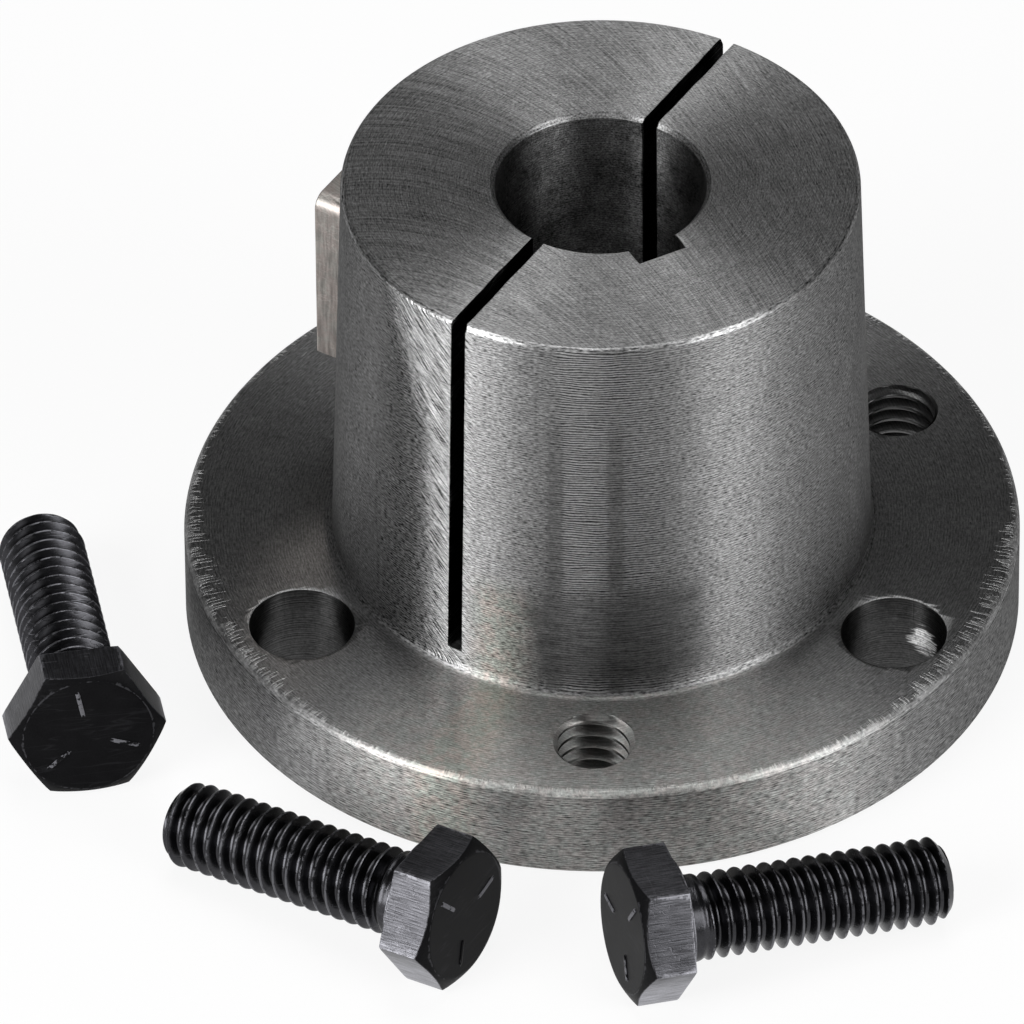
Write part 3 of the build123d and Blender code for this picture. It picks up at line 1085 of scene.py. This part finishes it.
def key_steel():
    """Cold drawn key bar, a little warmer than the turned steel, with lengthwise draw marks."""
    constants = {"metallic": 1.0, "specular_tint": (0.4, 0.4, 0.4, 1)}
    material, g, shader = new_material("key_steel_finish", **constants)
    place = place_in_mm(g)
    x, y, z = g.separate(place)
    draw = effect(g, "tool marks", across=x + y, along=z, width=0.12, length=3.0, seed=5.0)
    grain = effect(g, "grain", place=place, size=0.2, speckle=0.5, clouds=0.4)
    scratch = effect(g, "scratches", place=place, width=0.015, amount=0.5)
    tint = effect(g, "stain", place=place, amount=0.3)
    shade = 0.34 * grain * (0.8 + draw * 0.4) + scratch * 0.1
    warm = g.add("ShaderNodeVectorMath", (tint, KEY_TINT), operation="MULTIPLY")
    colour = g.scale(warm, shade)
    finish(g, shader, colour, 0.42 + (draw - 0.5) * 0.1, draw - scratch, 0.006)
    return material


def black_oxide():
    """Oiled black oxide, nearly black and glossy: drawn flats, edges worn to grey, lower flats with
    a painted reflection.
    """
    constants = {"ior": 1.1, "specular_tint": (0.85, 0.85, 0.85, 1)}
    material, g, shader = new_material("black_oxide_finish", **constants)
    place = g.add("ShaderNodeAttribute", out="Vector", attribute_name="place_in_screw")
    wear = g.add("ShaderNodeAttribute", out="Fac", attribute_name="edge_wear")
    x, y, z = g.separate(place)
    on_head = z < 0.0
    radius = g.from_axis(x, y)
    cone = g.math("MAXIMUM", radius - FACE_RADIUS, 0.0) * tan(radians(HEAD_CHAMFER_ANGLE))
    end_face = g.fall(z + HEAD_HEIGHT - cone, 0.02, 0.12)
    flat = on_head * (1.0 - end_face)
    around = g.math("ARCTAN2", y, x) * AROUND_HEAD_RADIUS
    drawn = effect(g, "tool marks", across=around, along=z, width=0.1, length=2.5, seed=1.0)
    grain = effect(g, "grain", place=place, size=0.16, speckle=0.9, clouds=0.6)
    broken = effect(g, "grain", place=place, size=0.5, speckle=2.5, clouds=2.5)
    scratch = effect(g, "scratches", place=place, width=0.02, amount=0.5)
    scratch = scratch * (1.0 - end_face * 0.7)
    worn = g.span(wear * g.math("MINIMUM", broken, 1.2), 0.75, 1.0)
    worn = worn * (1.0 - end_face * g.span(radius, 5.0, 5.5) * 0.75)
    # Painted reflection: the flats on the screw's lower side are lightened as if mirroring the
    # floor
    painted_lower_reflection = g.span(y, 1.0, -3.0)
    shade = blend(blend(0.044, 0.066 + painted_lower_reflection * 0.26, flat), 0.006, end_face)
    shade = shade * grain * (1.0 + (drawn - 0.5) * flat * 0.9)
    shade = shade + worn * (0.09 + on_head * 0.03) + scratch * 0.02
    rough = 0.25 + (grain - 1.0) * 0.12 + flat * 0.08 + end_face * 0.14 + worn * 0.1
    relief = grain * 0.6 + drawn * flat - scratch
    colour = g.scale(OXIDE_TINT, shade)
    g.tree.links.new((1.0 - end_face * 0.9).socket, shader.inputs["Metallic"])
    finish(g, shader, colour, rough, relief, 0.006)
    return material


def coat(piece, material):
    piece.data.materials.clear()
    piece.data.materials.append(material)


thread = thread_group()
ring = ring_group()

body = bushing(tapped_hole_tree(thread), hole_ring_tree(ring))
coat(body, turned_steel())
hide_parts("bushing_body")
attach(body, "root")

key = drive_key()
coat(key, key_steel())
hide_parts("drive_key")
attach(key, "root")

screw_tree = cap_screw_tree(thread, ring)
oxide = black_oxide()
mark = grade_mark()
for node_name, (place, first_mark_angle) in SCREW_PLACES.items():
    screw_name = node_name.replace("cap_screw", "hexagon_cap_screw")
    screw = cap_screw(screw_name, screw_tree, mark, first_mark_angle, oxide)
    screw.data.transform(resting_place(*place))
    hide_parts(node_name)
    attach(screw, "root")
bpy.data.objects.remove(mark)


# Floor, camera and light

FLOOR_WHITE = 0.88
FLOOR_REACH = 4.0

# The floor lies this far below the flange, in millimetres, so that the two don't flicker
FLOOR_DROP = 0.03


def floor():
    """White paper that keeps the pieces' shadows, and that can't be seen from below."""
    mesh = bpy.data.meshes.new("studio_floor")
    sides = (-FLOOR_REACH, FLOOR_REACH)
    corners = [(x, y, -FLOOR_DROP * MM) for x in sides for y in sides]
    mesh.from_pydata(corners, [], [(0, 2, 3, 1)])
    piece = new_piece("studio_floor", mesh)
    material = bpy.data.materials.new("white_paper")
    material.use_nodes = True
    g = Graph(material.node_tree)
    g.tree.nodes.remove(g.tree.nodes["Principled BSDF"])
    paper = g.add("ShaderNodeBsdfDiffuse", {"Color": (0.85, 0.85, 0.85, 1)})
    white = g.add("ShaderNodeEmission", {"Color": (1, 1, 1, 1), "Strength": 1.0})
    rays = g.tree.nodes.new("ShaderNodeLightPath").outputs
    seen = Number(g, rays["Is Camera Ray"])
    for name in ("Is Glossy Ray", "Is Transmission Ray"):
        seen = g.math("MAXIMUM", seen, Number(g, rays[name]))
    surface = g.add("ShaderNodeMixShader", {0: seen * FLOOR_WHITE, 1: paper, 2: white})
    from_below = g.add("ShaderNodeNewGeometry", out="Backfacing")
    clear = g.add("ShaderNodeBsdfTransparent")
    surface = g.add("ShaderNodeMixShader", {0: from_below, 1: surface, 2: clear})
    g.tree.links.new(surface.socket, g.tree.nodes["Material Output"].inputs["Surface"])
    coat(piece, material)


floor()

CAMERA_AZIMUTH = 1.885
CAMERA_ELEVATION = 40.862
CAMERA_ROLL = -0.464
CAMERA_DISTANCE = 1696.6
CAMERA_AIM_ASIDE = -8.195
CAMERA_AIM_UP = 10.15
CAMERA_LENS = 654.4
CAMERA_SENSOR = 36


def aim_camera():
    angles = (CAMERA_AZIMUTH, CAMERA_ELEVATION, CAMERA_ROLL)
    azimuth, elevation, roll = (radians(angle) for angle in angles)
    back = Vector((sin(azimuth) * cos(elevation), -cos(azimuth) * cos(elevation), sin(elevation)))
    level = Vector((cos(azimuth), sin(azimuth), 0))
    upward = back.cross(level)
    right = level * cos(roll) + upward * sin(roll)
    upright = upward * cos(roll) - level * sin(roll)
    aim = level * CAMERA_AIM_ASIDE + Vector((0, 0, CAMERA_AIM_UP))
    turn = Matrix((right, upright, back)).transposed().to_4x4()
    data = bpy.data.cameras.new("photograph_view")
    data.sensor_width = CAMERA_SENSOR
    data.lens = CAMERA_LENS
    data.clip_end = 50
    camera = bpy.data.objects.new("photograph_view", data)
    camera.matrix_world = Matrix.Translation((aim + back * CAMERA_DISTANCE) * MM) @ turn
    bpy.context.scene.collection.objects.link(camera)
    bpy.context.scene.camera = camera


LAMP_DISTANCE = 1.2

# Each soft box: its azimuth and elevation, its width and height, and how bright the metal sees it
LAMPS = {
    "left_soft_box": (219, 26, 0.54, 0.95, 8.2),
    "left_edge": (196, 15, 0.3, 0.6, 1.2),
    "front_strip": (260, 15, 0.22, 0.6, 1.6),
    "right_soft_box": (324, 26, 0.56, 0.95, 5.0),
    "right_edge": (347, 15, 0.4, 0.6, 1.0),
    "top_soft_box": (90, 84, 0.6, 0.6, 3.8),
    "back_soft_box": (90, 60, 0.6, 0.3, 2.6),
}
WORLD_GREY = 0.075


def soft_box(name, azimuth, elevation, width, height, radiance):
    """A rectangular lamp that faces the bushing."""
    data = bpy.data.lights.new(name, "AREA")
    data.shape = "RECTANGLE"
    data.size, data.size_y = width, height
    data.energy = radiance * pi * width * height
    lamp = bpy.data.objects.new(name, data)
    azimuth, elevation = radians(azimuth), radians(elevation)
    away = Vector((cos(azimuth) * cos(elevation), sin(azimuth) * cos(elevation), sin(elevation)))
    place = Vector((0, 0, 0.02)) + away * LAMP_DISTANCE
    facing = away.to_track_quat("Z", "Y").to_matrix().to_4x4()
    lamp.matrix_world = Matrix.Translation(place) @ facing
    bpy.context.scene.collection.objects.link(lamp)


aim_camera()
for lamp_name, values in LAMPS.items():
    soft_box(lamp_name, *values)

world = bpy.data.worlds.new("studio")
world.use_nodes = True
background = world.node_tree.nodes["Background"]
background.inputs["Color"].default_value = (WORLD_GREY, WORLD_GREY, WORLD_GREY, 1)
bpy.context.scene.world = world
bpy.context.scene.view_settings.view_transform = "Standard"
